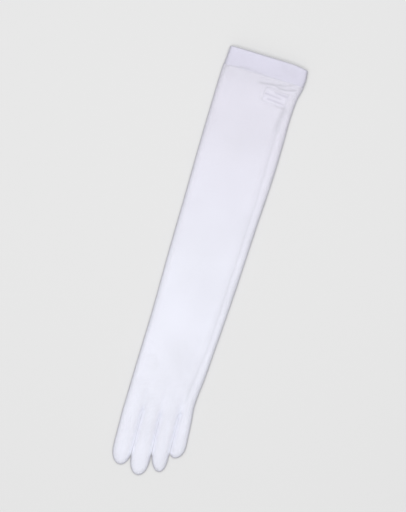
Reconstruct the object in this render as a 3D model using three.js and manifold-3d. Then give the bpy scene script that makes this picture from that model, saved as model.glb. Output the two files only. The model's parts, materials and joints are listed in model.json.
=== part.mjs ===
// A long dress glove of fine white tulle for the left hand. It lies flat on its palm side, with the
// thumb folded under the palm. Units are millimetres and +Z is up. +Y runs from the fingertips to the
// open mouth, and +X is the little finger's side. The origin is on the surface that the glove lies
// on, under the middle of the box that it fills.
//
// A place on the glove is given by "along", from the mouth's rim to the fingertips, and "across",
// from the middle line to the little finger's side.
//
// The pieces, as such a glove is cut and sewn:
//   back_panel   the upper layer: arm, back of the hand and four fingers
//   palm_panel   the lower layer, with the thumb hole
//   thumb        a flat tube sewn to the thumb hole
//   hem_band     the turned hem round the mouth, two layers thick
//   care_label   a bare patch inside the back panel, just below the hem
import * as THREE from "three";
import { mergeVertices } from "three/addons/utils/BufferGeometryUtils.js";
import Module from "manifold-3d";

const wasm = await Module();
wasm.setup();

const WALL = 1.0; // one layer of cloth
const SEAM_GAP = 0.3; // between two pieces that are sewn together
const SLIT = 0.6; // between the sides of two fingers
const EDGE_ROUND = 7; // how far in from a sewn edge the back panel still rises
const REST_ROUND = 6; // the same for the palm panel, which is flat further in

const HEM_DEPTH = 21.5;
const HEM_WALL = 1.7; // the hem is turned twice
const RIM = { lead: 2.0, fall: 2.2, from: 30, to: 52 }; // the rim falls back at the little finger's side

// The glove's sections. left and right are the sewn edges, seam their height above the surface,
// rise the height of the rounded edge above the seam, and crown the further rise to the middle.
const SECTIONS = rowsOf(
  ["along", "left", "right", "seam", "rise", "crown"],
  [-3, -50.4, 50.6, 1.8, 7.3, 0.8],
  [12, -51.2, 52.2, 1.8, 7.3, 0.8],
  [24, -51.8, 51.2, 1.7, 7.4, 0.8],
  [40, -52.1, 47.8, 1.6, 7.5, 0.8],
  [66, -51.9, 46.8, 1.6, 7.5, 0.8],
  [96, -51.7, 47.7, 1.6, 7.5, 0.8],
  [143, -51.0, 48.0, 1.6, 7.5, 0.8],
  [195, -49.8, 46.3, 1.6, 7.5, 0.8],
  [247, -49.1, 45.1, 1.6, 7.5, 0.8],
  [286, -48.2, 44.2, 1.6, 7.5, 0.8],
  [327, -47.0, 42.8, 1.6, 7.5, 0.9],
  [352, -46.6, 41.8, 1.6, 7.6, 1.0],
  [374, -46.6, 40.8, 1.6, 8.1, 1.0],
  [390, -46.5, 40.3, 1.6, 8.4, 0.9],
  [406, -46.5, 39.5, 1.6, 8.5, 0.8],
  [425, -46.5, 37.8, 1.6, 8.4, 0.7],
  [441, -46.2, 37.3, 1.6, 8.1, 0.4],
  [455, -46.1, 39.3, 1.6, 7.8, 0.2],
  [470, -46.0, 40.6, 1.6, 7.3, 0],
  [490, -44.8, 41.9, 1.6, 6.7, 0],
  [541, -42.0, 41.9, 1.6, 5.9, 0],
);

// Where the four fingers leave the hand: its two sides, and the three crotches between them
const KNUCKLES = rowsOf(
  ["along", "across"],
  [467, -46.1],
  [463, -22.3],
  [462, 0.2],
  [455, 23.1],
  [451, 38.9],
);

// Each finger's sides at its pad, where the tip starts to round, and the point of the tip
const FINGERS = rowsOf(
  ["name", "pad", "left", "right", "tip", "tipAcross"],
  ["index", 515, -44.1, -20.4, 534, -31.0],
  ["middle", 521, -19.4, 4.3, 540.2, -6.1],
  ["ring", 508.5, 4.2, 25.0, 529, 18.0],
  ["little", 494, 25.3, 42.6, 507, 31.6],
);

// Soft folds in the back panel: a path of [along, across], the half-width at which a fold has
// nearly died out, and its height, which is below zero for a crease.
const FOLDS = [
  {
    name: "side crease",
    path: [[44, 42], [68, 38], [96, 33], [140, 36], [308, 33.5], [364, 32], [401, 29], [436, 25], [453, 23]],
    width: 7,
    height: -1.1,
  },
  { name: "hem pucker", path: [[32, -6], [28, 44]], width: 5, height: -0.7 },
  { name: "index groove", path: [[438, -24], [463, -22.3]], width: 5.5, height: -2.4 },
  { name: "middle groove", path: [[436, -2], [462, 0.2]], width: 5.5, height: -2.4 },
  { name: "ring groove", path: [[434, 21], [455, 23.1]], width: 5.5, height: -2.4 },
  { name: "wrist fold", path: [[352, -34], [378, -12], [396, 12]], width: 12, height: 0.6 },
  { name: "thumb mark", path: [[384, -27], [412, -18]], width: 7, height: -0.6 },
];

// The thumb lies under the palm, from its root by the thumb hole to its round tip.
const THUMB = {
  root: { along: 402, across: -28, radius: 13.5 },
  tip: { along: 438, across: 8, radius: 10.5 },
  height: 2.6,
  edgeRound: 1.0,
  holeLong: 11, // the hole's half-length, along the thumb
  holeWide: 8.5, // and its half-width
};
const LIFT_MARGIN = 5; // the palm stays lifted this far outside the thumb
const LIFT_FALL = 12; // and comes down to the surface over this width

const LABEL = { along: 44.2, across: 21.3, length: 18, width: 30.5, thickness: 0.7, turn: 0.08 }; // radians

// How finely the cloth is cut into faces. ROWS are the hand's, from the hem to the knuckles.
const ROWS = [
  21.8, 26, 30, 35, 42, 53, 69, 90, 115, 143, 172, 200, 230, 260,
  290, 318, 342, 362, 378, 392, 405, 417, 428, 438, 447, 455, 462,
];
const CELLS_PER_FINGER = 6;
const FINGER_STEPS = 4;
const TIP_ANGLES = [25, 47, 65, 80].map(THREE.MathUtils.degToRad);
const HEM_ROWS = 4;
const HEM_COLUMNS = 24;
const LABEL_CELLS = { along: 3, across: 6 };

function rowsOf(names, ...rows) {
  return rows.map((row) => Object.fromEntries(names.map((name, i) => [name, row[i]])));
}

const mix = (a, b, share) => a + (b - a) * share;

// A smooth curve through one column of a table
function columnAt(table, column, along) {
  const last = table.length - 1;
  const i = THREE.MathUtils.clamp(table.findIndex((row) => row.along > along) - 1, 0, last - 1);
  const slope = (k) => {
    const before = table[Math.max(k - 1, 0)];
    const after = table[Math.min(k + 1, last)];
    return (after[column] - before[column]) / (after.along - before.along);
  };
  const span = table[i + 1].along - table[i].along;
  const u = THREE.MathUtils.clamp((along - table[i].along) / span, 0, 1);
  const near = table[i][column] * (1 + 2 * u) + slope(i) * span * u;
  const far = table[i + 1][column] * (3 - 2 * u) - slope(i + 1) * span * (1 - u);
  return near * (1 - u) ** 2 + far * u ** 2;
}

const sectionAt = (along) =>
  Object.fromEntries(
    ["left", "right", "seam", "rise", "crown"].map((column) => [column, columnAt(SECTIONS, column, along)]),
  );

// Rises from 0 at a sewn edge to 1, as a quarter of an ellipse does
const roundOver = (share) => Math.sqrt(1 - (1 - THREE.MathUtils.clamp(share, 0, 1)) ** 2);

function distanceToPath(along, across, path) {
  const here = new THREE.Vector3(along, across, 0);
  const nearest = new THREE.Vector3();
  const part = new THREE.Line3();
  return path.slice(1).reduce((least, end, i) => {
    part.set(new THREE.Vector3(...path[i], 0), new THREE.Vector3(...end, 0));
    part.closestPointToPoint(here, true, nearest);
    return Math.min(least, nearest.distanceTo(here));
  }, Infinity);
}

const foldsAt = (along, across) =>
  FOLDS.reduce((sum, { path, width, height }) => {
    const away = distanceToPath(along, across, path) / width;
    return sum + height * Math.exp(-3 * away ** 2);
  }, 0);

// How high the thumb holds the palm above the surface
function liftAt(along, across) {
  const { root, tip, height } = THUMB;
  const run = new THREE.Vector2(tip.along - root.along, tip.across - root.across);
  const here = new THREE.Vector2(along - root.along, across - root.across);
  const share = THREE.MathUtils.clamp(here.dot(run) / run.lengthSq(), 0, 1);
  const outside = here.distanceTo(run.multiplyScalar(share)) - mix(root.radius, tip.radius, share);
  return (height + SEAM_GAP) * (1 - THREE.MathUtils.smoothstep(outside - LIFT_MARGIN, 0, LIFT_FALL));
}

// The heights of the two layers. edge is the distance from the nearest sewn edge, and inset is how
// far inside the cloth's outer face the point lies.
function backHeight(along, across, edge, inset) {
  const { left, right, seam, rise, crown } = sectionAt(along);
  const side = (2 * across - left - right) / (right - left);
  const swell = crown * (1 - side ** 2) + foldsAt(along, across);
  return seam + SEAM_GAP / 2 + roundOver(edge / (EDGE_ROUND - inset)) * (rise - inset + swell);
}

function palmHeight(along, across, edge, inset) {
  const rim = sectionAt(along).seam - SEAM_GAP / 2;
  return mix(rim, liftAt(along, across) + inset, roundOver(edge / (REST_ROUND - inset)));
}

// A row of points across a finger, closer together at its sides, where the cloth turns over
const spread = (cell, cells) => (1 - Math.cos((Math.PI * cell) / cells)) / 2;
const fingerRow = (left, right) =>
  Array.from({ length: CELLS_PER_FINGER + 1 }, (_, cell) => ({
    along: mix(left.along, right.along, spread(cell, CELLS_PER_FINGER)),
    across: mix(left.across, right.across, spread(cell, CELLS_PER_FINGER)),
  }));

const isCrotch = (knuckle) => knuckle > 0 && knuckle < KNUCKLES.length - 1;

function handRows(inset) {
  const ends = KNUCKLES.map(({ along, across }, i) => ({ along: along - (isCrotch(i) ? inset : 0), across }));
  const last = FINGERS.flatMap((_, f) => fingerRow(ends[f], ends[f + 1]).slice(f > 0 ? 1 : 0));
  const width = last.at(-1).across - last[0].across;
  return ROWS.map((row) => {
    const level = (row - ROWS[0]) / (ROWS.at(-1) - ROWS[0]);
    return last.map((end) => {
      const along = mix(ROWS[0], end.along, level);
      const { left, right } = sectionAt(along);
      const share = (end.across - last[0].across) / width;
      return { along, across: mix(left + inset, right - inset, share) };
    });
  });
}

function fingerRows(finger, f, inset) {
  const sides = [
    { knuckle: KNUCKLES[f], pad: finger.left, inward: 1, slit: isCrotch(f) ? SLIT / 2 : 0 },
    { knuckle: KNUCKLES[f + 1], pad: finger.right, inward: -1, slit: isCrotch(f + 1) ? SLIT / 2 : 0 },
  ];
  const straight = Array.from({ length: FINGER_STEPS }, (_, step) => {
    const share = (step + 1) / FINGER_STEPS;
    const ends = sides.map(({ knuckle, pad, inward, slit }) => ({
      along: mix(knuckle.along, finger.pad, share),
      across: mix(knuckle.across + inward * slit, pad, share) + inward * inset,
    }));
    return fingerRow(...ends);
  });
  const round = TIP_ANGLES.map((angle) => {
    const along = mix(finger.pad, finger.tip - inset, Math.sin(angle));
    const middle = mix((finger.left + finger.right) / 2, finger.tipAcross, Math.sin(angle));
    const half = ((finger.right - finger.left) / 2 - inset) * Math.cos(angle);
    return fingerRow({ along, across: middle - half }, { along, across: middle + half });
  });
  return [...straight, ...round];
}

// The plan of a panel as a net of cells: the hand's rows, and then those of each finger
function panelPlan(inset) {
  const points = [];
  const cells = [];
  const addRow = (above, row) => {
    const ids = row.map((point) => points.push(point) - 1);
    above?.slice(1).forEach((right, i) => cells.push([above[i], right, ids[i + 1], ids[i]]));
    return ids;
  };
  const knuckleRow = handRows(inset).reduce(addRow, null);
  FINGERS.forEach((finger, f) => {
    const from = f * CELLS_PER_FINGER;
    const root = knuckleRow.slice(from, from + CELLS_PER_FINGER + 1);
    fingerRows(finger, f, inset).reduce(addRow, root);
  });
  return { points, cells };
}

// The edges that only one cell has, in the direction in which that cell is wound
function openEdges(cells) {
  const edges = new Map();
  for (const cell of cells)
    cell.forEach((a, i) => {
      const b = cell[(i + 1) % cell.length];
      if (!edges.delete(`${b},${a}`)) edges.set(`${a},${b}`, [a, b]);
    });
  return [...edges.values()];
}

// A sheet with an outer and an inner face over the same net of cells, closed along its open edges
function sheetGeometry(outer, inner, cells) {
  const triangles = [];
  const add = (a, b, c, d) => triangles.push(a, b, c, a, c, d);
  const under = outer.length;
  for (const [a, b, c, d] of cells) {
    add(a, b, c, d);
    add(under + a, under + d, under + c, under + b);
  }
  for (const [a, b] of openEdges(cells)) add(b, a, under + a, under + b);
  const geometry = new THREE.BufferGeometry().setFromPoints([...outer, ...inner]);
  geometry.setIndex(triangles);
  return geometry;
}

const place = (along, across, height) => new THREE.Vector3(across, -along, height);

function panelFace(inset, heightOf) {
  const { points, cells } = panelPlan(inset);
  const sewn = openEdges(cells)
    .map((ends) => ends.map((id) => [points[id].along, points[id].across]))
    .filter((ends) => ends.some(([along]) => along > ROWS[0]));
  return points.map(({ along, across }) => {
    const edge = Math.min(...sewn.map((part) => distanceToPath(along, across, part)));
    return place(along, across, heightOf(along, across, edge, inset));
  });
}

function backPanelGeometry() {
  const facingUp = panelPlan(0).cells.map((cell) => [...cell].reverse());
  return sheetGeometry(panelFace(0, backHeight), panelFace(WALL, backHeight), facingUp);
}

function palmPanelGeometry() {
  return sheetGeometry(panelFace(0, palmHeight), panelFace(WALL, palmHeight), panelPlan(0).cells);
}

const rimAt = (across) => RIM.fall * THREE.MathUtils.smoothstep(across, RIM.from, RIM.to) - RIM.lead;

// One loop round the hem: over the top from the left edge to the right one, and back underneath
function hemLoop(share, inset) {
  const { left, right } = sectionAt(HEM_DEPTH * share);
  const face = (heightOf) =>
    Array.from({ length: HEM_COLUMNS + 1 }, (_, column) => {
      const across = mix(left + inset, right - inset, spread(column, HEM_COLUMNS));
      const along = mix(rimAt(across), HEM_DEPTH, share);
      const edge = Math.min(across - left, right - across) - inset;
      return place(along, across, heightOf(along, across, edge, inset));
    });
  return [...face(backHeight), ...face(palmHeight).slice(1, -1).reverse()];
}

function hemBandGeometry() {
  const loops = (inset) => Array.from({ length: HEM_ROWS }, (_, row) => hemLoop(row / (HEM_ROWS - 1), inset));
  const outer = loops(0);
  const around = outer[0].length;
  const cells = outer.slice(1).flatMap((loop, row) =>
    loop.map((_, i) => {
      const next = (i + 1) % around;
      const [front, back] = [row * around, (row + 1) * around];
      return [front + i, back + i, back + next, front + next];
    }),
  );
  return sheetGeometry(outer.flat(), loops(HEM_WALL).flat(), cells);
}

// The label follows the inside of the back panel, a little askew.
function careLabelGeometry() {
  const { length, width, turn, thickness } = LABEL;
  const perRow = LABEL_CELLS.across + 1;
  const face = (inset) =>
    Array.from({ length: (LABEL_CELLS.along + 1) * perRow }, (_, i) => {
      const down = length * (Math.floor(i / perRow) / LABEL_CELLS.along - 0.5);
      const over = width * ((i % perRow) / LABEL_CELLS.across - 0.5);
      const along = LABEL.along + down * Math.cos(turn) + over * Math.sin(turn);
      const across = LABEL.across - down * Math.sin(turn) + over * Math.cos(turn);
      return place(along, across, backHeight(along, across, EDGE_ROUND, 0) - inset);
    });
  const cells = Array.from({ length: LABEL_CELLS.along * LABEL_CELLS.across }, (_, i) => {
    const corner = Math.floor(i / LABEL_CELLS.across) * perRow + (i % LABEL_CELLS.across);
    return [corner, corner + perRow, corner + perRow + 1, corner + 1];
  });
  const top = WALL + SEAM_GAP;
  return sheetGeometry(face(top), face(top + thickness), cells);
}

const asSolid = (geometry) => {
  const bare = geometry.clone();
  bare.deleteAttribute("normal");
  bare.deleteAttribute("uv");
  const { attributes, index } = mergeVertices(bare, 1e-4);
  const vertProperties = attributes.position.array;
  const triVerts = new Uint32Array(index.array);
  return new wasm.Manifold(new wasm.Mesh({ numProp: 3, vertProperties, triVerts }));
};

const asGeometry = (solid) => {
  const { vertProperties, triVerts } = solid.getMesh();
  return new THREE.BufferGeometry()
    .setAttribute("position", new THREE.BufferAttribute(vertProperties, 3))
    .setIndex(new THREE.BufferAttribute(triVerts, 1));
};

// The line that the thumb lies along, and its heading seen from above
const thumbRoot = place(THUMB.root.along, THUMB.root.across, 0);
const thumbTip = place(THUMB.tip.along, THUMB.tip.across, 0);
const thumbHeading = Math.atan2(thumbTip.y - thumbRoot.y, thumbTip.x - thumbRoot.x);

// The thumb's outline seen from above: an arc round each end, and straight sides that touch them
function thumbOutline(inset) {
  const { root, tip } = THUMB;
  const turn = Math.acos((root.radius - tip.radius) / thumbRoot.distanceTo(thumbTip));
  const near = thumbHeading + turn;
  const far = thumbHeading - turn;
  const shape = new THREE.Shape();
  shape.absarc(thumbTip.x, thumbTip.y, tip.radius - inset, far, near);
  shape.absarc(thumbRoot.x, thumbRoot.y, root.radius - inset, near, far + 2 * Math.PI);
  return shape;
}

// A flat pad over that outline, with rounded edges
function thumbPad(inset) {
  const thickness = THUMB.height - 2 * inset;
  const round = Math.min(THUMB.edgeRound, thickness * 0.4);
  const pad = new THREE.ExtrudeGeometry(thumbOutline(inset + round), {
    depth: thickness - 2 * round,
    bevelThickness: round,
    bevelSize: round,
    bevelSegments: 3,
    curveSegments: 12,
  });
  return pad.translate(0, 0, inset + round);
}

function thumbHolePrism() {
  const { holeLong, holeWide, height } = THUMB;
  const shape = new THREE.Shape();
  shape.absellipse(thumbRoot.x, thumbRoot.y, holeLong, holeWide, 0, 2 * Math.PI, false, thumbHeading);
  const size = { depth: 2 * height, bevelEnabled: false, curveSegments: 12 };
  return new THREE.ExtrudeGeometry(shape, size).translate(0, 0, height / 2);
}

function thumbGeometry() {
  const mouth = asSolid(thumbHolePrism());
  return asGeometry(asSolid(thumbPad(0)).subtract(asSolid(thumbPad(WALL))).subtract(mouth));
}

function palmWithThumbHole() {
  return asGeometry(asSolid(palmPanelGeometry()).subtract(asSolid(thumbHolePrism())));
}

const tulle = new THREE.MeshStandardMaterial({ color: "#ecebf7", roughness: 0.85, metalness: 0 });
const doubledTulle = new THREE.MeshStandardMaterial({ color: "#dcdaec", roughness: 0.85, metalness: 0 });
const satinTape = new THREE.MeshStandardMaterial({ color: "#f4f3fa", roughness: 0.5, metalness: 0 });

function piece(name, geometry, material) {
  const mesh = new THREE.Mesh(geometry, material);
  mesh.name = name;
  geometry.computeVertexNormals();
  return mesh;
}

const glove = new THREE.Group();
glove.add(
  piece("back_panel", backPanelGeometry(), tulle),
  piece("palm_panel", palmWithThumbHole(), tulle),
  piece("thumb", thumbGeometry(), tulle),
  piece("hem_band", hemBandGeometry(), doubledTulle),
  piece("care_label", careLabelGeometry(), satinTape),
);

const box = new THREE.Box3().setFromObject(glove);
const centre = box.getCenter(new THREE.Vector3());
glove.position.set(-centre.x, -centre.y, -box.min.z);

export default glove;
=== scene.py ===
"""A long dress glove of fine white tulle, lying flat on a pale studio floor.

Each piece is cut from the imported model: its skin is read off a node of the frame, divided finely,
and given the folds, puckers, seams and stitches of the real cloth. Lengths are in metres. +Y runs
from the fingertips to the open mouth, +Z from the palm to the back of the hand.
"""
import json
import math
from typing import NamedTuple

import bmesh
import bpy
from bpy.props import FloatProperty, FloatVectorProperty, PointerProperty
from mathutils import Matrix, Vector, noise
from mathutils.bvhtree import BVHTree
from mathutils.kdtree import KDTree

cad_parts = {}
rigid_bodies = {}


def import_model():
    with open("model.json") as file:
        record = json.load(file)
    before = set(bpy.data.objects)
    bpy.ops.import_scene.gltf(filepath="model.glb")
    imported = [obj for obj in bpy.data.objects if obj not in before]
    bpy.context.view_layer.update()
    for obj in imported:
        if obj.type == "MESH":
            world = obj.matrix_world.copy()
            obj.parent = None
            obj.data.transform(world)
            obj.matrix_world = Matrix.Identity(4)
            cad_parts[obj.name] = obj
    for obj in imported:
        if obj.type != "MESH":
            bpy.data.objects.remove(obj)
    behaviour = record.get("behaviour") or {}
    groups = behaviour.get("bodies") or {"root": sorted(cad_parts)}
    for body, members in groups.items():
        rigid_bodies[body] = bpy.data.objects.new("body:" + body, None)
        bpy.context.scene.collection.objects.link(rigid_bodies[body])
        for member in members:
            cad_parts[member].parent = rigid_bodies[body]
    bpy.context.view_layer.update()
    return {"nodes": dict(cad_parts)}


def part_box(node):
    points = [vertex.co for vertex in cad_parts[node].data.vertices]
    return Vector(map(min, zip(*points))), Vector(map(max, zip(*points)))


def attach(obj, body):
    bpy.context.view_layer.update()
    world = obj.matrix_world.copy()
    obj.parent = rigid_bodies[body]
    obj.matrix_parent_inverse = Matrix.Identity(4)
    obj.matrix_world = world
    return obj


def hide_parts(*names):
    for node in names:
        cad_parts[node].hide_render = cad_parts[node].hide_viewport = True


for leftover in list(bpy.data.objects):
    bpy.data.objects.remove(leftover)  # Blender's own first cube, lamp and camera

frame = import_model()

bl_info = {
    "name": "Long Tulle Glove",
    "version": (1, 0, 0),
    "blender": (4, 5, 0),
    "location": "View3D > Sidebar > Glove",
    "description": "Builds a long sheer dress glove with its seams, turned hem and care label",
    "category": "Object",
}

MM = 0.001
UP = Vector((0, 0, 1))

# How the solids' meshes are read and divided
MERGE_DISTANCE = 0.005 * MM  # points as close as this are one
SKIN_BEND = math.radians(50)  # a skin ends where the solid bends by more than this at an edge
CORNER_TURN = math.radians(55)  # where a rim turns by more than this it keeps its corner
LONGEST_PANEL_CELL = 18 * MM
LONGEST_HEM_CELL = 5 * MM
FAR_OFF = 0.05  # further above or below the floor than any point of the glove

# The sockets of a Mix node that mixes colours
SHARE = 0
FIRST = 6
SECOND = 7
MIXED = 2

# How much of the cloth still shows in the middle of a hole of its net
PANEL_HOLE = 0.12
HEM_HOLE = 0.55
SEAM_HOLE = 0.9
COVER_ON_LABEL = 0.58  # how much of the net's threads shows where it lies on the label

# How tightly each piece bends over at its sides, as a radius
PANEL_BEND = 7.5 * MM
HEM_BEND = 5 * MM
THUMB_BEND = 2.2 * MM

# Where the panels' cloth has the arm's colour in full, and from where it has the hand's. The greyer arm is
# painted shade.
ARM_TONE_Y = 0.24
HAND_TONE_Y = -0.06

# Where the soft folds of each panel start in the noise, so that they differ
BACK_SEED = 1.3
PALM_SEED = 5.1

# The seam round the glove
SEAM_STEP = 0.9 * MM  # distance between two points of its path
SEAM_SIDES = 10  # corners of its section
SEAM_HALF_HEIGHT = 0.6 * MM
SEAM_PROUD = 0.6 * MM  # how far it stands out past the panels' edge, at most
SEAM_SUNK = 0.15 * MM  # how far its middle lies below the back's edge
OVERLOCK_PROUD = 0.05 * MM  # how far the overlock thread stands off it
PUCKER_REACH = 5.5 * MM  # how far the puckers run into the cloth
EDGE_PAINTED_SHADE = 0.3  # how dark the painted shade along it is, where the cloth is turned in, from 0 to 1
FINGER_GAP = 0.9 * MM  # sewn edges as close as this belong to two fingers side by side
GROOVE_SWELL = 1.2 * MM  # how much higher the seam stands between two such fingers
GROOVE_SHADE = 0.9  # how dark the painted shade of the thin line between them is, from 0 to 1
BUNCHED_FILL = 0.42  # how far the net's holes close where the cloth bunches beside that line

# How far in each ring of the thumb's cells is, from its outline (0) to its middle (1)
THUMB_RINGS = [0.02, 0.06, 0.12, 0.2, 0.3, 0.42, 0.54, 0.66, 0.78, 0.9]
THUMB_SEAM_HALF_WIDTH = 0.45 * MM
HOLE_SEAM_HALF_WIDTH = 0.7 * MM
THUMB_SEAM_HALF_HEIGHT = 0.4 * MM

# Patterns drawn on the cloth, the thread, the label's tape and the floor
MOTTLE_SIZE = 62.5 * MM
PLY_PITCH = 0.262 * MM
RIB_PITCH = 0.79 * MM
FLOOR_CLOUD_SIZE = 500 * MM

RIM_Y = 268.95 * MM  # where the measure "along" starts, near the mouth's rim
HEM_ROWS = (15.8, 20.0)  # how far along the hem's rows of stitches are, in mm
HEM_ACROSS = (-47.5, 48.5)  # from where to where across they run, in mm
HEM_LAP = 1.0 * MM  # how far the hem's lower edge reaches over the arm
HEM_LAID = 7 * MM  # how much of the hem bends down to lie on the arm
STITCH_GAP = 0.9 * MM
# A stitch's points: how deep each is sunk in and its half-width, as shares of the thread's width
STITCH_POINTS = [(0.5, 0.35), (-0.3, 0.5), (-0.45, 0.55), (-0.3, 0.5), (0.5, 0.35)]

LABEL_MIDDLE = (44.2, 21.3)  # along and across, in mm
LABEL_SIZE = (30.5 * MM, 18 * MM)
LABEL_TURN = 0.08  # in radians
# The label's plain woven bars: how far down from its middle, and from where to where across, in mm
LABEL_BARS = [(-5.6, -2.5, 14.0), (-0.6, -14.0, 7.0), (4.6, -8.5, 13.0)]

# The stage, in metres
FLOOR_HALF = 4.0
LAMP_SIDE = 2.6
LAMP_PLACE = (-0.12, 0.16, 2.3)
LAMP_TILT = (math.radians(-4), math.radians(-3), 0)
CAMERA_OVER = (-6.75 * MM, 11.7 * MM)  # the floor point that the camera looks down on


class Fold(NamedTuple):
    """A fold too narrow for the solids. Its path is in (along, across), and all lengths in mm."""

    half_width: float
    height: float
    painted_shade: float  # how dark the painted shade in the fold is, from 0 to 1
    path: list


FINE_FOLDS = [
    # Painted shade below the hem's soft lower edge, and along the line where its stitches pull
    Fold(22, 0, 0.12, [(26, -50), (26, 50)]),
    Fold(1.8, 0, 0.4, [(24.5, -48), (22.9, -43), (20.0, -31), (19.4, -20)]),
    Fold(1.8, 0, 0.3, [(19.4, -20), (20.2, -9), (21.4, 1), (22.0, 12)]),
    # Creases between the hem and the label, with painted shade in them
    Fold(1.8, -0.4, 0.55, [(31.8, -2), (30.7, 9), (29.4, 18), (27.9, 26)]),
    Fold(1.8, -0.3, 0.4, [(27.9, 26), (26.8, 30), (24.6, 35), (21.8, 40)]),
    Fold(1.8, -0.4, 0.55, [(30.2, 18), (32.2, 23), (32.0, 31), (28.8, 43)]),
    # Painted shade in a hollow below the label, and on the hem
    Fold(5.2, -0.5, 0.3, [(55, 37.4), (62, 35.8), (70, 34.6), (84, 35.0)]),
    Fold(12, 0, 0.14, [(6, 22), (12, 30), (10, 36)]),
    # The long crease beside the little finger's edge, from the label to the wrist, with painted shade in
    # it
    Fold(2.8, -0.35, 0.2, [(82, 35.0), (125, 35.4), (168, 36.2), (308, 33.6)]),
    Fold(2.8, -0.35, 0.2, [(308, 33.6), (364, 32.4), (400, 28.5), (436, 25.2)]),
]


def linear(colour):
    """An sRGB hex colour as linear red, green, blue and alpha"""
    channels = [int(colour[i:i + 2], 16) / 255 for i in (1, 3, 5)]
    return (*[c / 12.92 if c <= 0.04045 else ((c + 0.055) / 1.055) ** 2.4 for c in channels], 1.0)


def length_setting(name, description, millimetres):
    """A length that a user can change"""
    return FloatProperty(
        name=name, description=description, default=millimetres * MM, min=0, precision=5, unit="LENGTH"
    )


def colour_setting(name, description, colour):
    """A colour that a user can change"""
    return FloatVectorProperty(
        name=name, description=description, default=linear(colour), size=4, min=0, max=1, subtype="COLOR"
    )


class ClothSettings(bpy.types.PropertyGroup):
    """Sizes and colours of the net and of its folds"""

    thickness: length_setting("Thickness", "How thick one layer of tulle is", 0.35)
    net_pitch: length_setting("Net pitch", "Distance between two rows of holes", 0.72)
    fold_height: length_setting("Fold height", "How high the soft folds of the cloth stand", 0.45)
    pucker_height: length_setting("Pucker height", "How high the cloth puckers at a seam", 0.28)
    pucker_pitch: length_setting("Pucker pitch", "Distance between two puckers at a seam", 6.5)
    arm_colour: colour_setting("Arm colour", "Tulle at the upper arm", "#e9e7f2")
    hand_colour: colour_setting("Hand colour", "Tulle over the hand", "#f2f3fd")
    # Colour of the faint mottle, and of the painted shade along the edges and in the folds
    mottle_and_shade_colour: colour_setting("Doubled colour", "Tulle where it lies double", "#b4b4bc")


class SewingSettings(bpy.types.PropertyGroup):
    """Sizes and colours of the seams, the hem and the label"""

    seam_width: length_setting("Seam width", "Width of the rolled seam round the glove", 1.3)
    thread_width: length_setting("Thread width", "Thickness of the sewing thread", 0.24)
    stitch_length: length_setting("Stitch length", "Length of one hem stitch", 2.6)
    overlock_pitch: length_setting("Overlock pitch", "Distance between two turns of the overlock", 2.2)
    hem_colour: colour_setting("Hem colour", "The turned hem", "#d8d6e5")
    # Grey painted shade that outlines the glove along its rolled seam
    seam_shade_colour: colour_setting("Seam colour", "The rolled seam", "#b2b2b8")
    thread_colour: colour_setting("Thread colour", "Polyester sewing thread", "#e4e3ee")
    label_colour: colour_setting("Label colour", "Satin tape of the care label", "#fbfbff")


class StageSettings(bpy.types.PropertyGroup):
    """The floor, the light and the camera"""

    floor_colour: colour_setting("Floor colour", "Plain pale floor", "#d3d3d3")
    camera_height: length_setting("Camera height", "Height of the camera above the floor", 1764)
    camera_turn: FloatProperty(
        name="Camera turn", description="How far the glove leans in view",
        default=math.radians(17), subtype="ANGLE",
    )
    sky_strength: FloatProperty(
        name="Sky strength", description="Even light from all round", default=0.5, min=0
    )
    lamp_power: FloatProperty(
        name="Lamp power", description="Soft box above the glove", default=55, min=0, unit="POWER"
    )


def add_node(tree, kind, output, inputs=None, **settings):
    """Adds a shader node and returns one of its outputs. inputs holds a value or another node's
    output for each of its inputs."""
    node = tree.nodes.new(kind)
    for name, value in settings.items():
        setattr(node, name, value)
    for key, value in (inputs or {}).items():
        if isinstance(value, bpy.types.NodeSocket):
            tree.links.new(value, node.inputs[key])
        else:
            node.inputs[key].default_value = value
    return node.outputs[output]


def principled(name, **sockets):
    """A new material with a Principled shader, as (material, tree, shader)"""
    material = bpy.data.materials.new(name)
    material.use_nodes = True
    tree = material.node_tree
    shader = tree.nodes["Principled BSDF"]
    for socket, value in sockets.items():
        shader.inputs[socket.replace("_", " ")].default_value = value
    return material, tree, shader


def hexagonal_net(tree, place, pitch):
    """Three waves at 60 degrees to each other. They add up to 3 in the middle of each hole, and to
    -1.5 between the holes."""
    total = 0.0
    for turn in (0, 60, 120):
        heading = math.radians(turn)
        wave = Vector((math.cos(heading), math.sin(heading), 0)) * (2 * math.pi / pitch)
        phase = add_node(
            tree, "ShaderNodeVectorMath", "Value", {0: place, 1: wave}, operation="DOT_PRODUCT"
        )
        height = add_node(tree, "ShaderNodeMath", 0, {0: phase}, operation="COSINE")
        total = add_node(tree, "ShaderNodeMath", 0, {0: total, 1: height}, operation="ADD")
    return total


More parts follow.
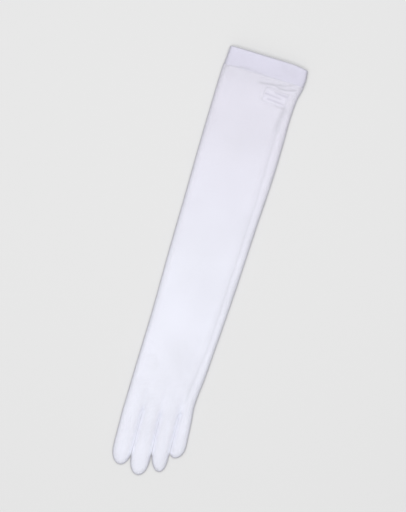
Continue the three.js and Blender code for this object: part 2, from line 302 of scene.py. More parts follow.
def tulle_material(name, cloth, colour, hole):
    """Nylon bobbinet tulle: matt hexagonal net whose threads scatter light and whose holes show
    what lies below. hole is how much of the cloth still shows in a hole. The finest nets have rows
    of holes 0.5 mm apart, and this one is drawn a little coarser so that it shows close up."""
    material, tree, shader = principled(
        name, Base_Color=colour, Roughness=0.86, IOR=1.53, Sheen_Weight=0.18, Sheen_Roughness=0.45,
        Specular_IOR_Level=0.3,
    )
    place = add_node(tree, "ShaderNodeTexCoord", "Object")
    slide = add_node(tree, "ShaderNodeAttribute", "Vector", attribute_name="slide")
    on_cloth = add_node(tree, "ShaderNodeVectorMath", 0, {0: place, 1: slide}, operation="ADD")
    net = hexagonal_net(tree, on_cloth, cloth.net_pitch)

    # Cover: open in the holes, closed where the cloth is bunched, thinner where it lies on the label
    holes = add_node(
        tree, "ShaderNodeMapRange", 0,
        {"Value": net, "From Min": 0.25, "From Max": 0.85, "To Min": 1.0, "To Max": hole},
    )
    bunched = add_node(tree, "ShaderNodeAttribute", "Fac", attribute_name="bunched")
    filled = add_node(tree, "ShaderNodeMath", 0, {0: holes, 1: bunched}, operation="MAXIMUM")
    over_label = add_node(tree, "ShaderNodeAttribute", "Fac", attribute_name="over_label")
    thinner = add_node(
        tree, "ShaderNodeMapRange", 0, {"Value": over_label, "To Min": 1.0, "To Max": COVER_ON_LABEL}
    )
    cover = add_node(tree, "ShaderNodeMath", 0, {0: filled, 1: thinner}, operation="MULTIPLY")

    bump = add_node(
        tree, "ShaderNodeBump", 0, {"Height": net, "Strength": 0.35, "Distance": 0.08 * MM}, invert=True
    )
    tree.links.new(cover, shader.inputs["Alpha"])
    tree.links.new(bump, shader.inputs["Normal"])
    return material


def vary_colour(material, hand, painted_shade):
    """Turns a tulle's own colour into the hand's towards the hand, leaving painted shade greyer towards
    the upper arm, mottles it faintly, and darkens it with the painted shade that its mesh marks"""
    tree = material.node_tree
    shader = tree.nodes["Principled BSDF"]
    place = add_node(tree, "ShaderNodeTexCoord", "Object")
    along = add_node(tree, "ShaderNodeSeparateXYZ", "Y", {0: place})
    # Painted shade: greyer towards the upper arm, lighter towards the hand
    towards_hand = add_node(
        tree, "ShaderNodeMapRange", 0, {"Value": along, "From Min": ARM_TONE_Y, "From Max": HAND_TONE_Y},
        interpolation_type="SMOOTHSTEP",
    )
    cloud = add_node(
        tree, "ShaderNodeTexNoise", "Fac", {"Vector": place, "Scale": 1 / MOTTLE_SIZE, "Detail": 3.0}
    )
    mottle = add_node(
        tree, "ShaderNodeMapRange", 0, {"Value": cloud, "From Min": 0.38, "From Max": 0.66, "To Max": 0.08}
    )
    painted_shade_amount = add_node(tree, "ShaderNodeAttribute", "Fac", attribute_name="painted_shade")
    colour = shader.inputs["Base Color"].default_value
    # The mottle is faint random tone; the marked darkening is painted shade
    for share, other in ((towards_hand, hand), (mottle, painted_shade), (painted_shade_amount, painted_shade)):
        colour = add_node(
            tree, "ShaderNodeMix", MIXED, {SHARE: share, FIRST: colour, SECOND: other}, data_type="RGBA"
        )
    tree.links.new(colour, shader.inputs["Base Color"])


def band_scale(pitch):
    """The scale at which a wave texture has one band in that length: Blender turns its coordinate
    by 20 radians a unit"""
    return 2 * math.pi / (20 * pitch)


def thread_material(sewing):
    """Spun polyester thread: two plies that twist, a little brighter than the net"""
    material, tree, shader = principled("spun_polyester_thread", Roughness=0.6, IOR=1.6, Sheen_Weight=0.1)
    place = add_node(tree, "ShaderNodeTexCoord", "Object")
    twist = add_node(
        tree, "ShaderNodeTexWave", "Fac",
        {"Vector": place, "Scale": band_scale(PLY_PITCH), "Distortion": 1.5}, bands_direction="DIAGONAL",
    )
    # Painted shade between the two plies of the thread
    shade_between_plies = linear("#c9c8d4")
    colour = add_node(
        tree, "ShaderNodeMix", MIXED,
        {SHARE: twist, FIRST: shade_between_plies, SECOND: sewing.thread_colour}, data_type="RGBA",
    )
    bump = add_node(tree, "ShaderNodeBump", 0, {"Height": twist, "Strength": 0.5, "Distance": 0.05 * MM})
    tree.links.new(colour, shader.inputs["Base Color"])
    tree.links.new(bump, shader.inputs["Normal"])
    return material


def satin_material(sewing):
    """Woven satin tape: fine ribs across it, smoother and shinier than the net. The threads are
    0.2 mm apart, drawn coarser so that they still show close up."""
    material, tree, shader = principled(
        "woven_satin_tape", Roughness=0.42, IOR=1.54, Sheen_Weight=0.2, Sheen_Roughness=0.3
    )
    place = add_node(tree, "ShaderNodeTexCoord", "Object")
    ribs = add_node(
        tree, "ShaderNodeTexWave", "Fac", {"Vector": place, "Scale": band_scale(RIB_PITCH)},
        bands_direction="X",
    )
    bars = add_node(tree, "ShaderNodeAttribute", "Fac", attribute_name="bars")
    between_ribs = linear("#f2f1f9")
    bar_colour = linear("#b0afbc")
    colour = between_ribs
    for share, other in ((ribs, sewing.label_colour), (bars, bar_colour)):
        colour = add_node(
            tree, "ShaderNodeMix", MIXED, {SHARE: share, FIRST: colour, SECOND: other}, data_type="RGBA"
        )
    bump = add_node(tree, "ShaderNodeBump", 0, {"Height": ribs, "Strength": 0.4, "Distance": 0.05 * MM})
    tree.links.new(colour, shader.inputs["Base Color"])
    tree.links.new(bump, shader.inputs["Normal"])
    return material


def floor_material(stage):
    """Painted studio board: matt, with a very faint unevenness"""
    material, tree, shader = principled("matt_studio_board", Roughness=0.95, Specular_IOR_Level=0.1)
    place = add_node(tree, "ShaderNodeTexCoord", "Object")
    cloud = add_node(
        tree, "ShaderNodeTexNoise", "Fac", {"Vector": place, "Scale": 1 / FLOOR_CLOUD_SIZE, "Detail": 2.0}
    )
    faint = add_node(tree, "ShaderNodeMath", 0, {0: cloud, 1: 0.05}, operation="MULTIPLY")
    uneven = linear("#d0d0d0")
    colour = add_node(
        tree, "ShaderNodeMix", MIXED, {SHARE: faint, FIRST: stage.floor_colour, SECOND: uneven},
        data_type="RGBA",
    )
    tree.links.new(colour, shader.inputs["Base Color"])
    return material


def smoothstep(value, low, high):
    """0 below low, 1 above high, and a smooth rise between them"""
    share = min(max((value - low) / (high - low), 0), 1)
    return share * share * (3 - 2 * share)


def flat(point):
    """The point seen from above"""
    return Vector((point.x, point.y, 0))


def place_on_glove(along, across):
    """The plan point at a measure along and across the glove, both in mm"""
    return Vector((across * MM, RIM_Y - along * MM, 0))


def place_on_label(point):
    """How far a point is across and down from the label's middle, in the label's own directions"""
    away = flat(point) - place_on_glove(*LABEL_MIDDLE)
    across = away.x * math.cos(LABEL_TURN) - away.y * math.sin(LABEL_TURN)
    down = -away.y * math.cos(LABEL_TURN) - away.x * math.sin(LABEL_TURN)
    return across, down


def add_object(name, data):
    """A new object in the scene"""
    added = bpy.data.objects.new(name, data)
    bpy.context.collection.objects.link(added)
    return added


def show(name, mesh, material):
    """A new piece of the glove, on its one body, with its material"""
    piece = add_object(name, mesh)
    mesh.materials.append(material)
    mesh.shade_smooth()
    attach(piece, "root")
    return piece


def as_mesh(name, net):
    """The net as a mesh, and the net is freed"""
    mesh = bpy.data.meshes.new(name)
    net.to_mesh(mesh)
    net.free()
    return mesh


def node_net(name):
    """A CAD node's triangles, with the points that lie on each other merged"""
    net = bmesh.new()
    net.from_mesh(frame["nodes"][name].data)
    bmesh.ops.remove_doubles(net, verts=net.verts, dist=MERGE_DISTANCE)
    return net


def whole_node(name):
    """A CAD node's faces as four-sided cells"""
    net = node_net(name)
    bmesh.ops.join_triangles(
        net, faces=net.faces, angle_face_threshold=math.radians(60), angle_shape_threshold=math.pi
    )
    return net


def skin(name, looking):
    """The faces of a CAD node that look up (1) or down (-1), as four-sided cells. They spread from
    its widest such face, as far as the surface bends by less than SKIN_BEND at an edge, and
    stop where it is upright."""
    net = node_net(name)
    front = [max(net.faces, key=lambda face: face.normal.z * looking * face.calc_area())]
    found = set(front)
    while front:
        face = front.pop()
        for other in (other for edge in face.edges for other in edge.link_faces):
            bend = face.normal.angle(other.normal)
            if other not in found and bend < SKIN_BEND and other.normal.z * looking > 0.02:
                found.add(other)
                front.append(other)
    bmesh.ops.delete(net, geom=[face for face in net.faces if face not in found], context="FACES")
    bmesh.ops.join_triangles(
        net, faces=net.faces, angle_face_threshold=math.pi, angle_shape_threshold=math.pi
    )
    return net


def keep_corners(net):
    """Holds the corners of the mouth and the crotches between the fingers in place when smoothed"""
    crease = net.verts.layers.float.new("crease_vert")
    for vertex in net.verts:
        rim = [edge.other_vert(vertex).co - vertex.co for edge in vertex.link_edges if edge.is_boundary]
        if len(rim) == 2 and math.pi - rim[0].angle(rim[1]) > CORNER_TURN:
            vertex[crease] = 1.0


def divide_long_cells(net, longest, cuts):
    """Divides the cells that are long in the direction of the arm"""
    long_edges = []
    for edge in net.edges:
        down_the_arm = abs(edge.verts[0].co.y - edge.verts[1].co.y)
        if edge.calc_length() > longest and down_the_arm > 0.6 * edge.calc_length():
            long_edges.append(edge)
    bmesh.ops.subdivide_edges(net, edges=long_edges, cuts=cuts, use_grid_fill=True)


def smooth_mesh(name, net, levels):
    """The net as a smooth mesh, with each cell divided that many times"""
    holder = add_object("holder", as_mesh("holder", net))
    smoothing = holder.modifiers.new("smoothing", "SUBSURF")
    smoothing.levels = levels
    smoothing.render_levels = levels
    evaluated = holder.evaluated_get(bpy.context.evaluated_depsgraph_get())
    mesh = bpy.data.meshes.new_from_object(evaluated)
    mesh.name = name
    bpy.data.objects.remove(holder)
    return mesh


def sewn_edge(mesh):
    """The points along a panel's sewn edge, in order from one side of the mouth to the other"""
    net = bmesh.new()
    net.from_mesh(mesh)
    mouth = max(vertex.co.y for vertex in net.verts) - 0.3 * MM
    rim = [edge for edge in net.edges if edge.is_boundary and min(v.co.y for v in edge.verts) < mouth]
    beside = {}
    for edge in rim:
        for vertex in edge.verts:
            beside.setdefault(vertex, []).append(edge.other_vert(vertex))
    here = min((v for v, others in beside.items() if len(others) == 1), key=lambda v: v.co.x)
    before = None
    points = []
    while here is not None:
        points.append(here.co.copy())
        onward = [vertex for vertex in beside[here] if vertex != before]
        before = here
        here = onward[0] if onward else None
    net.free()
    return points


def point_tree(points):
    """A tree that finds the nearest of those points, seen from above"""
    tree = KDTree(len(points))
    for i, point in enumerate(points):
        tree.insert(flat(point), i)
    tree.balance()
    return tree


def distance_to_path(point, path):
    """The distance from a plan point to a path of plan points"""
    nearest = math.inf
    for start, end in zip(path, path[1:]):
        run = end - start
        share = min(max((point - start).dot(run) / run.length_squared, 0), 1)
        nearest = min(nearest, (point - start - run * share).length)
    return nearest


def fold_paths(folds):
    """Each fold with its path as plan points"""
    return [(fold, [place_on_glove(*spot) for spot in fold.path]) for fold in folds]


def fine_folds_at(point, folds):
    """The height of the fine folds at a plan point, and how much painted shade they put there"""
    height = 0
    painted_shade = 0
    for fold, path in folds:
        half_widths_away = distance_to_path(point, path) / (fold.half_width * MM)
        if half_widths_away < 2.5:  # further off a fold is too faint to count
            share = math.exp(-2.5 * half_widths_away ** 2)
            height += fold.height * MM * share
            painted_shade = max(painted_shade, fold.painted_shade * share)
    return height, painted_shade


def mark_points(mesh, name, values):
    """Stores one number for each of the mesh's points, which its material reads by that name"""
    mesh.attributes.new(name, "FLOAT", "POINT").data.foreach_set("value", values)


def mark_slide(mesh, normals, bend):
    """Stores how far the net lies outwards of its plan where the cloth bends over with that radius,
    since the way along the cloth is longer than its plan. It keeps the holes round there."""
    slides = []
    for normal in normals:
        tilt = math.acos(min(abs(normal.z), 1))
        slides.extend(flat(normal).normalized() * bend * (tilt - math.sin(tilt)))
    mesh.attributes.new("slide", "FLOAT_VECTOR", "POINT").data.foreach_set("vector", slides)


def run_along(path):
    """The length of a path up to each of its points"""
    run = [0.0]
    for start, end in zip(path, path[1:]):
        run.append(run[-1] + (end - start).length)
    return run


def finger_gaps(path):
    """For each point of a sewn edge, the width of the gap to the next finger's edge beside it.
    An edge belongs to another finger where the way to it along the seam is a long one."""
    widest = 3 * FINGER_GAP
    tree = point_tree(path)
    run = run_along(path)
    gaps = []
    for i, point in enumerate(path):
        beside = [
            away for _, j, away in tree.find_range(flat(point), widest)
            if abs(run[i] - run[j]) > 1.6 * away + 0.5 * MM
        ]
        gaps.append(min(beside, default=widest))
    reach = 3  # how many points to each side count too, so that no single one stands out
    return [min(gaps[max(i - reach, 0):i + reach + 1]) for i in range(len(gaps))]


def free_share(gap):
    """How free the sewn edge lies: 0 where two fingers lie side by side, 1 with nothing beside it"""
    return smoothstep(gap, FINGER_GAP, 1.6 * FINGER_GAP)


def soft_fold(point, seed):
    """The height of the soft folds, from about -1 to 1: long ones down the arm, small slanting ones"""
    wide = noise.noise(Vector((point.x * 26, point.y * 9, seed)))
    slanting = noise.noise(Vector((point.x * 55 + point.y * 30, point.y * 22, seed + 7)))
    return 0.7 * wide + 0.45 * slanting


def pucker(run, away, pitch, seed):
    """The height of the puckers, from -1 to 1, so far along the seam and so far away from it"""
    phase = 2 * math.pi * run / pitch + 3 * noise.noise(Vector((run * 45, seed, 0)))
    fading = math.exp(-(away / PUCKER_REACH) ** 2) * smoothstep(away, 0, 1.6 * MM)
    return math.sin(phase) * fading


def drape(mesh, cloth, seed, folds, on_floor=False):
    """Gives a panel its soft folds, its puckers along the seam, and painted shade along its sewn edge and
    in its fine folds. On the floor they can only rise. Returns the sewn edge."""
    edge = resample(sewn_edge(mesh), SEAM_STEP)
    tree = point_tree(edge)
    run = run_along(edge)
    free = [free_share(gap) for gap in finger_gaps(edge)]
    paths = fold_paths(folds)
    normals = [vertex.normal.copy() for vertex in mesh.vertices]
    painted_shade = []
    bunched = []
    for vertex, normal in zip(mesh.vertices, normals):
        _, index, away = tree.find(flat(vertex.co))
        soft = cloth.fold_height * smoothstep(away, 2 * MM, 14 * MM) * soft_fold(vertex.co, seed)
        puckered = cloth.pucker_height * pucker(run[index], away, cloth.pucker_pitch, seed)
        crease, fold_shade = fine_folds_at(flat(vertex.co), paths)
        if on_floor:
            vertex.co.z += 0.5 * (abs(soft) + abs(puckered))
        else:
            vertex.co += normal * (soft + puckered + crease)
        # The darker of two painted shades: along the sewn edge, where the cloth is turned in, and in the
        # fine folds
        edge_shade_share = 1 - smoothstep(away, 0.4 * MM, 1.4 * MM)
        painted_shade.append(max(EDGE_PAINTED_SHADE * edge_shade_share * free[index], fold_shade))
        by_seam = 1 - smoothstep(away, 1.5 * MM, 6 * MM)
        bunched.append(BUNCHED_FILL * (1 - free[index]) * by_seam)
    mark_points(mesh, "painted_shade", painted_shade)
    mark_points(mesh, "bunched", bunched)
    mark_slide(mesh, normals, PANEL_BEND)
    return edge


def lay_cloth(name, mesh, material, cloth, node):
    """Shows a mesh as one layer of tulle, thickened inwards, in place of a CAD node"""
    piece = show(name, mesh, material)
    layer = piece.modifiers.new("cloth thickness", "SOLIDIFY")
    layer.thickness = cloth.thickness
    layer.offset = -1.0
    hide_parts(node)


def way_at(points, i, closed=False):
    """The way a path runs at one of its points"""
    before = points[i - 1] if closed or i else points[i]
    after = points[(i + 1) % len(points)] if closed or i < len(points) - 1 else points[i]
    return after - before


def add_tube(net, points, radii, sides=6, closed=False):
    """Adds a tube along those points. radii are its (sideways, upward) half-widths at each."""
    count = len(points)
    rings = []
    for i, point in enumerate(points):
        ahead = way_at(points, i, closed).normalized()
        aside = ahead.cross(UP)
        aside = aside.normalized() if aside.length > 1e-4 else Vector((1, 0, 0))
        above = aside.cross(ahead)
        wide, high = radii[i]
        ring = []
        for side in range(sides):
            angle = 2 * math.pi * side / sides
            outward = aside * wide * math.cos(angle) + above * high * math.sin(angle)
            ring.append(net.verts.new(point + outward))
        rings.append(ring)
    for i in range(count if closed else count - 1):
        ring = rings[i]
        onward = rings[(i + 1) % count]
        for side in range(sides):
            beside = (side + 1) % sides
            net.faces.new((ring[side], ring[beside], onward[beside], onward[side]))
    if not closed:
        net.faces.new(rings[0])
        net.faces.new(reversed(rings[-1]))


def resample(points, step, closed=False):
    """Points at an even distance along a path"""
    path = points + points[:1] if closed else points
    run = run_along(path)
    count = max(2, round(run[-1] / step))
    even = []
    part = 0
    for i in range(count if closed else count + 1):
        target = run[-1] * i / count
        while part < len(path) - 2 and run[part + 1] < target:
            part += 1
        share = (target - run[part]) / max(run[part + 1] - run[part], 1e-9)
        even.append(path[part].lerp(path[part + 1], share))
    return even


def wind_thread(net, path, wide, high, sewing, closed=False):
    """Winds an overlock thread round a seam, at those half-widths"""
    steps = 9  # points to a turn
    spots = resample(path, sewing.overlock_pitch / steps, closed)
    wound = []
    for i, spot in enumerate(spots):
        aside = way_at(spots, i, closed).cross(UP).normalized()
        angle = 2 * math.pi * i / steps
        wound.append(spot + aside * wide * math.cos(angle) + UP * high * math.sin(angle))
    half = sewing.thread_width / 2
    add_tube(net, wound, [(half, half)] * len(wound), sides=5, closed=closed)


def surface_tree(piece):
    """A tree that finds where a ray meets a piece, thickness included"""
    return BVHTree.FromObject(piece, bpy.context.evaluated_depsgraph_get())


def on_surface(tree, point, looking):
    """The outermost point of a surface above (1) or below (-1) a plan point, if there is one"""
    start = Vector((point.x, point.y, FAR_OFF * looking))
    return tree.ray_cast(start, UP * -looking)[0]


def stitch_row(net, tree, path, looking, sewing):
    """Single stitches along a plan path, each lying on the surface with its ends sunk in"""
    thread = sewing.thread_width
    parts = len(STITCH_POINTS) + 1
    spots = resample(path, (sewing.stitch_length + STITCH_GAP) / parts)
    for first in range(0, len(spots) - parts + 1, parts):
        surface = [on_surface(tree, spot, looking) for spot in spots[first:first + parts - 1]]
        if None in surface:
            continue
        points = []
        for met, (sunk, _) in zip(surface, STITCH_POINTS):
            point = met - UP * looking * sunk * thread
            point.z = max(point.z, 0.6 * thread)  # clear of the floor
            points.append(point)
        add_tube(net, points, [(thread * half, thread * half) for _, half in STITCH_POINTS])


def panel_mesh(name, net):
    """A panel's cells as a smooth mesh that keeps the corners of its rim"""
    keep_corners(net)
    divide_long_cells(net, LONGEST_PANEL_CELL, cuts=2)
    return smooth_mesh(name, net, levels=2)


def show_label_through(mesh):
    """Marks where the net lies right on the label, which shows through it there"""
    over_label = []
    for vertex in mesh.vertices:
        across, down = place_on_label(vertex.co)
        outside = max(abs(across) - LABEL_SIZE[0] / 2, abs(down) - LABEL_SIZE[1] / 2)
        over_label.append(1 - smoothstep(outside, -1.2 * MM, 0.6 * MM))
    mark_points(mesh, "over_label", over_label)


def cut_thumb_hole(mesh, underside, edge):
    """Takes out the faces well inside the palm that have nothing of the solid's underside below"""
    net = bmesh.new()
    net.from_mesh(mesh)
    hole = []
    for face in net.faces:
        middle = face.calc_center_median()
        if edge.find(flat(middle))[2] > 3 * MM and on_surface(underside, middle, -1) is None:
            hole.append(face)
    bmesh.ops.delete(net, geom=hole, context="FACES")
    net.to_mesh(mesh)
    net.free()


def palm_mesh(cloth):
    """The palm has the back's cells in plan, at the palm's own heights, and the thumb hole"""
    below = skin("palm_panel", -1)
    underside = BVHTree.FromBMesh(below)
    below.free()
    net = skin("back_panel", 1)
    for vertex in net.verts:
        found = on_surface(underside, vertex.co, -1)
        if found is None:
            found = underside.find_nearest(Vector((vertex.co.x, vertex.co.y, 2.5 * MM)))[0]
        vertex.co.z = found.z
    bmesh.ops.reverse_faces(net, faces=net.faces)
    mesh = panel_mesh("palm_tulle", net)
    edge = drape(mesh, cloth, PALM_SEED, [], on_floor=True)
    cut_thumb_hole(mesh, underside, point_tree(edge))
    return mesh


class GLOVE_OT_panels(bpy.types.Operator):
    """Lays the back and the palm of the glove, each one layer of tulle"""

    bl_idname = "tulle_glove.panels"
    bl_label = "Back and palm panels"

    def execute(self, context):
        cloth = context.scene.glove_cloth
        tulle = tulle_material("nylon_tulle", cloth, cloth.arm_colour, PANEL_HOLE)
        vary_colour(tulle, cloth.hand_colour, cloth.mottle_and_shade_colour)
        back = panel_mesh("back_tulle", skin("back_panel", 1))
        drape(back, cloth, BACK_SEED, FINE_FOLDS)
        show_label_through(back)
        lay_cloth("back_tulle", back, tulle, cloth, "back_panel")
        lay_cloth("palm_tulle", palm_mesh(cloth), tulle, cloth, "palm_panel")
        return {"FINISHED"}


def middle_of(points):
    """The middle of some points, seen from above"""
    return sum((flat(point) for point in points), Vector()) / len(points)


def rim_loop(name, looking, inner):
    """The outer or the inner rim of a node's skin, in order round its middle"""
    net = skin(name, looking)
    left = {vertex for edge in net.edges if edge.is_boundary for vertex in edge.verts}
    rims = []
    while left:
        front = [left.pop()]
        rim = []
        while front:
            vertex = front.pop()
            rim.append(vertex.co.copy())
            for edge in vertex.link_edges:
                other = edge.other_vert(vertex)
                if edge.is_boundary and other in left:
                    left.discard(other)
                    front.append(other)
        rims.append(rim)
    net.free()
    rims.sort(key=lambda rim: max(point.x for point in rim) - min(point.x for point in rim))
    chosen = rims[0 if inner else -1]
    middle = middle_of(chosen)
    return sorted(chosen, key=lambda point: math.atan2(point.y - middle.y, point.x - middle.x))


def thumb_height(spot, inset, half, side):
    """How high the thumb's upper (1) or lower (-1) layer lies, so far inside its edge"""
    rise = math.sqrt(1 - (1 - min(inset / THUMB_BEND, 1)) ** 2)
    ripple = noise.noise(spot * 160) * 0.18 * MM * smoothstep(inset, 2 * MM, 6 * MM)
    return half + side * (half * rise - abs(ripple))


def thumb_layer(net, seam, outline, half, side):
    """Adds the upper (1) or the lower (-1) layer of the thumb, and returns its four-sided faces"""
    edge = point_tree(outline)
    middle = middle_of(outline)
    rings = [seam]
    for share in THUMB_RINGS:
        spots = [flat(point).lerp(middle, share) for point in outline]
        heights = [thumb_height(spot, edge.find(spot)[2], half, side) for spot in spots]
        rings.append([net.verts.new((spot.x, spot.y, height)) for spot, height in zip(spots, heights)])
    centre = net.verts.new((middle.x, middle.y, half + side * half * 0.95))
    faces = []
    for i in range(len(outline)):
        onward = (i + 1) % len(outline)
        for ring, inner in zip(rings, rings[1:]):
            corners = [ring[i], ring[onward], inner[onward], inner[i]]
            faces.append(net.faces.new(corners[::side]))
        net.faces.new([rings[-1][i], rings[-1][onward], centre][::side])
    return faces


def thumb_net(outline, hole, half):
    """The thumb as a flat tube of two layers, the upper one open at the thumb hole"""
    net = bmesh.new()
    seam = [net.verts.new((point.x, point.y, half)) for point in outline]
    upper = thumb_layer(net, seam, outline, half, 1)
    thumb_layer(net, seam, outline, half, -1)
    rim = point_tree(hole)
    middle = middle_of(hole)
    over_hole = []
    for face in upper:
        spot = flat(face.calc_center_median())
        if (spot - middle).length < (rim.find(spot)[0] - middle).length:
            over_hole.append(face)
    bmesh.ops.delete(net, geom=over_hole, context="FACES")
    bmesh.ops.recalc_face_normals(net, faces=net.faces)
    return net


def sew_thumb(outline, hole, half, cloth, sewing):
    """Adds the seam round the thumb hole and the one round the thumb, each with its overlock"""
    level = sum(point.z for point in hole) / len(hole) - 0.1 * MM
    seat = [Vector((point.x, point.y, level)) for point in resample(hole, 1.2 * MM, closed=True)]
    side_seam = [Vector((point.x, point.y, half)) for point in outline]
    seams = bmesh.new()
    threads = bmesh.new()
    high = THUMB_SEAM_HALF_HEIGHT
    for path, wide in ((seat, HOLE_SEAM_HALF_WIDTH), (side_seam, THUMB_SEAM_HALF_WIDTH)):
        add_tube(seams, path, [(wide, high)] * len(path), sides=8, closed=True)
        wind_thread(threads, path, wide + OVERLOCK_PROUD, high + OVERLOCK_PROUD, sewing, closed=True)
    # The thumb's seams take the side seam's grey painted shade
    rolled = tulle_material("rolled_tulle_thumb", cloth, sewing.seam_shade_colour, SEAM_HOLE)
    show("thumb_seams", as_mesh("thumb_seams", seams), rolled)
    show("thumb_overlock", as_mesh("thumb_overlock", threads), thread_material(sewing))


class GLOVE_OT_thumb(bpy.types.Operator):
    """Folds the thumb flat under the palm and sews it to the thumb hole"""

    bl_idname = "tulle_glove.thumb"
    bl_label = "Thumb"

    def execute(self, context):
        cloth = context.scene.glove_cloth
        sewing = context.scene.glove_sewing
        outline = resample(rim_loop("thumb", 1, inner=False), 1.6 * MM, closed=True)
        hole = rim_loop("palm_panel", -1, inner=True)
        low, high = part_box("thumb")
        half = (high[2] - low[2]) / 2
        mesh = as_mesh("thumb_tulle", thumb_net(outline, hole, half))
        mark_slide(mesh, [vertex.normal for vertex in mesh.vertices], THUMB_BEND)
        lay_cloth("thumb_tulle", mesh, bpy.data.materials["nylon_tulle"], cloth, "thumb")
        sew_thumb(outline, hole, half, cloth, sewing)
        return {"FINISHED"}


def rolled_seam(edge, half):
    """The path of the seam, its half-widths there, and how much painted shade each of its sides has.
    Between two fingers it stands higher, and only its outer sides have painted shade, as a thin line."""
    path = []
    radii = []
    shades = []
    for i, (point, gap) in enumerate(zip(edge, finger_gaps(edge))):
        inward = UP.cross(way_at(edge, i)).normalized()
        beside = 1 - free_share(gap)
        swell = GROOVE_SWELL * beside
        path.append(point + inward * (half - min(gap / 2, SEAM_PROUD)) + UP * (swell - SEAM_SUNK))
        radii.append((half, SEAM_HALF_HEIGHT + swell))
        for side in range(SEAM_SIDES):
            outward = max(math.cos(2 * math.pi * side / SEAM_SIDES), 0)
            shades.append(1 - beside * (1 - GROOVE_SHADE * outward ** 2))
    return path, radii, shades


class GLOVE_OT_side_seams(bpy.types.Operator):
    """Rolls and overlocks the seam that joins the back and the palm"""

    bl_idname = "tulle_glove.side_seams"
    bl_label = "Side and finger seams"

    def execute(self, context):
        cloth = context.scene.glove_cloth
        sewing = context.scene.glove_sewing
        edge = resample(sewn_edge(bpy.data.objects["back_tulle"].data), SEAM_STEP)
        half = sewing.seam_width / 2
        path, radii, shades = rolled_seam(edge, half)
        rolled = tulle_material("rolled_tulle", cloth, cloth.hand_colour, SEAM_HOLE)
        # The seam's grey, which outlines the glove, and the thin line between fingers are painted shade
        vary_colour(rolled, cloth.hand_colour, sewing.seam_shade_colour)
        net = bmesh.new()
        add_tube(net, path, radii, sides=SEAM_SIDES)
        mesh = as_mesh("side_seam", net)
        mark_points(mesh, "painted_shade", shades)
        show("side_seam", mesh, rolled)
        threads = bmesh.new()
        wind_thread(threads, path, half, SEAM_HALF_HEIGHT + OVERLOCK_PROUD, sewing)
        show("side_overlock", as_mesh("side_overlock", threads), thread_material(sewing))
        return {"FINISHED"}


def hem_outline(mesh, middle):
    """A tree of the plan points where the hem's cloth turns over, at its sides and its rim"""
    turned = []
    for vertex in mesh.vertices:
        outward = vertex.normal.y > 0.7 or vertex.normal.x * (vertex.co.x - middle) > 0.03
        if abs(vertex.normal.z) < 0.4 and outward:
            turned.append(vertex.co)
    return point_tree(turned)


def shape_hem(mesh):
    """Ripples the hem, laps its lower edge over the arm and marks painted shade round its sides and rim
    and in its folds
    """
    low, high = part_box("hem_band")
    panel = surface_tree(bpy.data.objects["back_tulle"])
    folds = fold_paths(FINE_FOLDS)
    outline = hem_outline(mesh, (low[0] + high[0]) / 2)
    normals = [vertex.normal.copy() for vertex in mesh.vertices]
    painted_shade = []
    for vertex, normal in zip(mesh.vertices, normals):
        place = vertex.co
        inside = outline.find(flat(place))[2]
        # Painted shade round the hem's sides and rim
        edges = 1 - smoothstep(inside, 0.8 * MM, 2.0 * MM)
        edges *= 0.85 - 0.3 * abs(normal.x)  # its upright side catches more light
        painted_shade.append(max(edges, fine_folds_at(flat(place), folds)[1]))
        if place.z > 1.5 * MM:
            ripple = noise.noise(Vector((place.x * 120, place.y * 60, 2.7)))
            vertex.co += normal * ripple * 0.2 * MM
        by_panel = 1 - smoothstep(place.y - low[1], 0, HEM_LAID)
        arm = on_surface(panel, Vector((place.x, low[1] - 1.5 * MM, 0)), 1)  # just past the hem
        if place.z > 1.0 * MM:
            place.y -= HEM_LAP * by_panel ** 4
        if normal.z > 0.1 and arm:
            away_from_sides = smoothstep(inside, 1 * MM, 6 * MM)
            place.z += (arm.z + 0.1 * MM - place.z) * by_panel * away_from_sides
    mark_points(mesh, "painted_shade", painted_shade)
    mark_slide(mesh, normals, HEM_BEND)


class GLOVE_OT_hem(bpy.types.Operator):
    """Turns the hem at the mouth and sews it with two rows of stitches"""

    bl_idname = "tulle_glove.hem"
    bl_label = "Turned hem"

    def execute(self, context):
        cloth = context.scene.glove_cloth
        sewing = context.scene.glove_sewing
        net = whole_node("hem_band")
        divide_long_cells(net, LONGEST_HEM_CELL, cuts=3)
        mesh = smooth_mesh("turned_hem", net, levels=2)
        shape_hem(mesh)
        folded = tulle_material("folded_tulle", cloth, sewing.hem_colour, HEM_HOLE)
        vary_colour(folded, sewing.hem_colour, cloth.mottle_and_shade_colour)
        hem = show("turned_hem", mesh, folded)
        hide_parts("hem_band")

        tree = surface_tree(hem)
        threads = bmesh.new()
        for along in HEM_ROWS:
            path = [place_on_glove(along, across) for across in HEM_ACROSS]
            for looking in (1, -1):
                stitch_row(threads, tree, path, looking, sewing)
        show("hem_stitches", as_mesh("hem_stitches", threads), thread_material(sewing))
        return {"FINISHED"}


def bar_shade(point):
    """How much of one of the label's woven bars lies at a point, from 0 to 1"""
    across, down = (length / MM for length in place_on_label(point))
    shade = 0
    for row, start, end in LABEL_BARS:
        over = smoothstep(across, start - 0.6, start) * (1 - smoothstep(across, end, end + 0.6))
        shade = max(shade, over * (1 - smoothstep(abs(down - row), 0.5, 1.2)))
    return shade


class GLOVE_OT_label(bpy.types.Operator):
    """Places the care label, with plain woven bars and no lettering, inside the back panel"""

    bl_idname = "tulle_glove.label"
    bl_label = "Care label"

    def execute(self, context):
        sewing = context.scene.glove_sewing
        net = whole_node("care_label")
        # Cut in nine first, each cell keeps its corners nearly square when smoothed
        bmesh.ops.subdivide_edges(net, edges=net.edges, cuts=2, use_grid_fill=True)
        mesh = smooth_mesh("care_label", net, levels=2)
        mark_points(mesh, "bars", [bar_shade(vertex.co) for vertex in mesh.vertices])
        label = show("woven_label", mesh, satin_material(sewing))
        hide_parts("care_label")
        return {"FINISHED"}


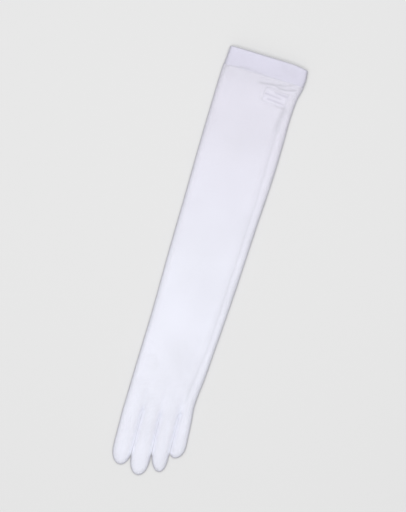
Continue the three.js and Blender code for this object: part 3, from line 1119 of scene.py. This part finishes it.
def lay_floor(stage):
    """Adds the studio's floor, a hair below the glove"""
    net = bmesh.new()
    bmesh.ops.create_grid(net, x_segments=24, y_segments=24, size=FLOOR_HALF)
    mesh = as_mesh("studio_floor", net)
    mesh.materials.append(floor_material(stage))
    floor = add_object("studio_floor", mesh)
    floor.location.z = -0.02 * MM


def set_light(scene):
    """Adds even light from all round and one large soft box above the glove"""
    scene.world = bpy.data.worlds.new("soft_sky")
    scene.world.use_nodes = True
    sky = scene.world.node_tree.nodes["Background"].inputs
    sky["Color"].default_value = (1, 1, 1, 1)
    sky["Strength"].default_value = scene.glove_stage.sky_strength

    lamp = bpy.data.lights.new("soft_box", "AREA")
    lamp.shape = "RECTANGLE"
    lamp.size = LAMP_SIDE
    lamp.size_y = LAMP_SIDE
    lamp.energy = scene.glove_stage.lamp_power
    soft_box = add_object("soft_box", lamp)
    soft_box.location = LAMP_PLACE
    soft_box.rotation_euler = LAMP_TILT


def set_camera(scene):
    """Adds the camera, which looks straight down"""
    lens = bpy.data.cameras.new("photo_camera")
    lens.lens = 100
    lens.sensor_width = 36
    lens.clip_end = 50
    camera = add_object("photo_camera", lens)
    camera.location = (*CAMERA_OVER, scene.glove_stage.camera_height)
    camera.rotation_euler = (0, 0, scene.glove_stage.camera_turn)
    scene.camera = camera


class GLOVE_OT_stage(bpy.types.Operator):
    """Sets the floor, the soft light and the camera"""

    bl_idname = "tulle_glove.stage"
    bl_label = "Floor, light and camera"

    def execute(self, context):
        scene = context.scene
        lay_floor(scene.glove_stage)
        set_light(scene)
        set_camera(scene)
        scene.view_settings.view_transform = "Standard"
        scene.cycles.transparent_max_bounces = 32  # enough to look through every layer of net
        return {"FINISHED"}


class GLOVE_OT_declare(bpy.types.Operator):
    """Takes no step of its own"""

    bl_idname = "tulle_glove.declare"
    bl_label = "Declare the cloth"

    def execute(self, context):
        return {"FINISHED"}


OPERATORS = (
    GLOVE_OT_stage,
    GLOVE_OT_panels,
    GLOVE_OT_thumb,
    GLOVE_OT_side_seams,
    GLOVE_OT_hem,
    GLOVE_OT_label,
    GLOVE_OT_declare,
)


class GLOVE_PT_sidebar(bpy.types.Panel):
    """Lists the glove's settings and the steps that build it"""

    bl_label = "Long Tulle Glove"
    bl_idname = "GLOVE_PT_sidebar"
    bl_space_type = "VIEW_3D"
    bl_region_type = "UI"
    bl_category = "Glove"

    def draw(self, context):
        for settings in (context.scene.glove_cloth, context.scene.glove_sewing, context.scene.glove_stage):
            box = self.layout.box()
            for name in settings.__annotations__:
                box.prop(settings, name)
        for operator in OPERATORS:
            self.layout.operator(operator.bl_idname)


SETTINGS = {"glove_cloth": ClothSettings, "glove_sewing": SewingSettings, "glove_stage": StageSettings}


def register():
    """Adds the settings, the steps and their panel to Blender"""
    for kind in (*SETTINGS.values(), *OPERATORS, GLOVE_PT_sidebar):
        bpy.utils.register_class(kind)
    for name, kind in SETTINGS.items():
        setattr(bpy.types.Scene, name, PointerProperty(type=kind))


def unregister():
    """Takes them out of Blender again"""
    for name in SETTINGS:
        delattr(bpy.types.Scene, name)
    for kind in (GLOVE_PT_sidebar, *reversed(OPERATORS), *SETTINGS.values()):
        bpy.utils.unregister_class(kind)


def main():
    """Builds the glove step by step"""
    register()
    for operator in OPERATORS:
        group, name = operator.bl_idname.split(".")
        getattr(getattr(bpy.ops, group), name)()


if __name__ == "__main__":
    main()
